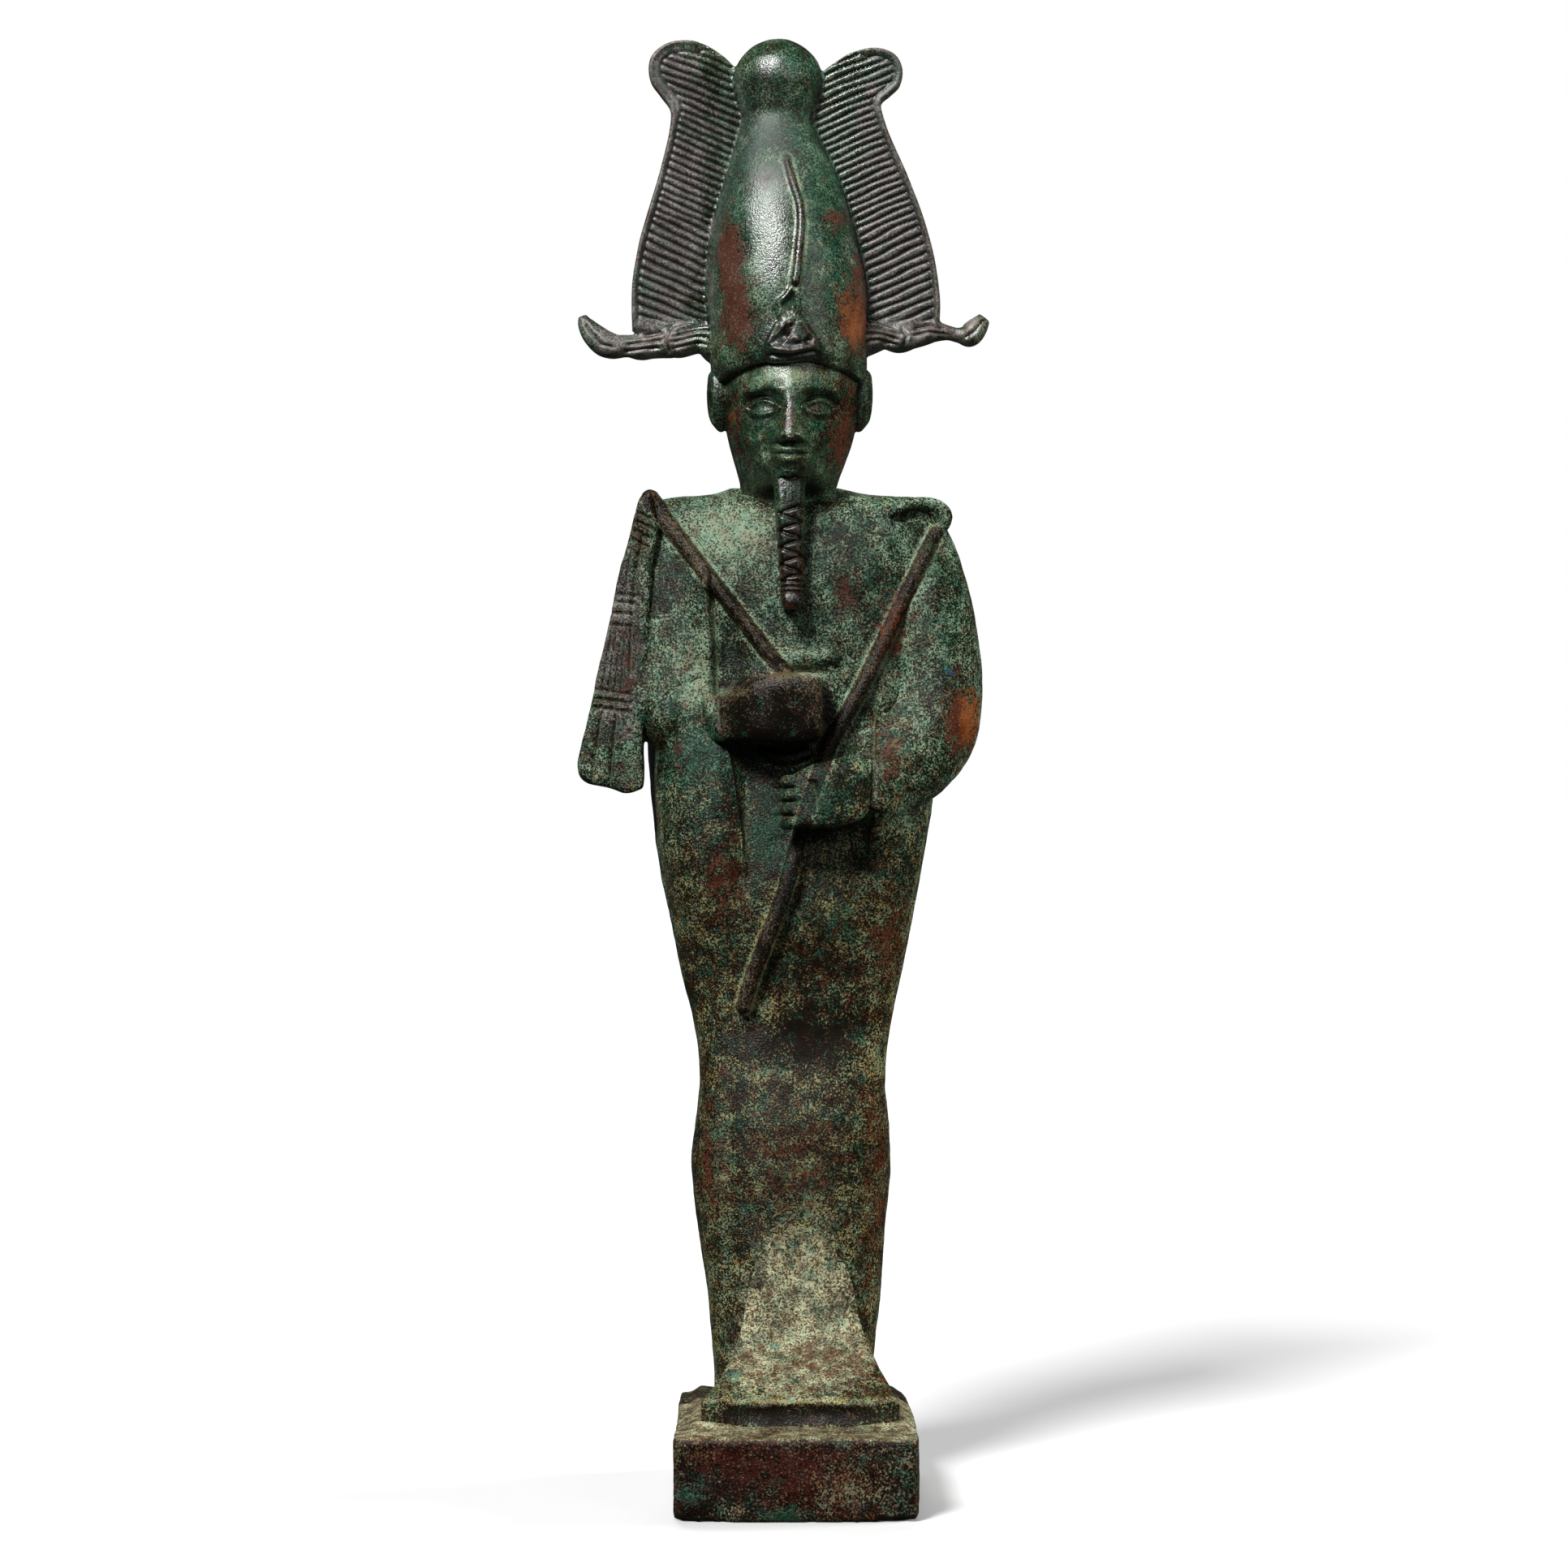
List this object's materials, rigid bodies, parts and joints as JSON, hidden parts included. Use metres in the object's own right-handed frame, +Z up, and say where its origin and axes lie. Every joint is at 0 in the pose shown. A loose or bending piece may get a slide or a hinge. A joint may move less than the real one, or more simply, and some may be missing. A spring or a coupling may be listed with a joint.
{
  "type": "osiris statue",
  "caption": "Small cast-bronze figure of a wrapped standing god with a tall feathered crown, crook and flail, on a rectangular plinth.",
  "frame": {"origin": "centre of the plinth's flat underside", "axes": "+Z up the figure, -Y the way the figure faces, +X to the figure's left"},
  "size_m": [0.0569, 0.0422, 0.2],
  "materials": {
    "patinated_bronze": "old cast bronze with a mottled green, olive and red-brown patina, satin where worn and pitted elsewhere"
  },
  "bodies": {
    "root": {"osiris_statue": "patinated_bronze"}
  },
  "joints": []
}
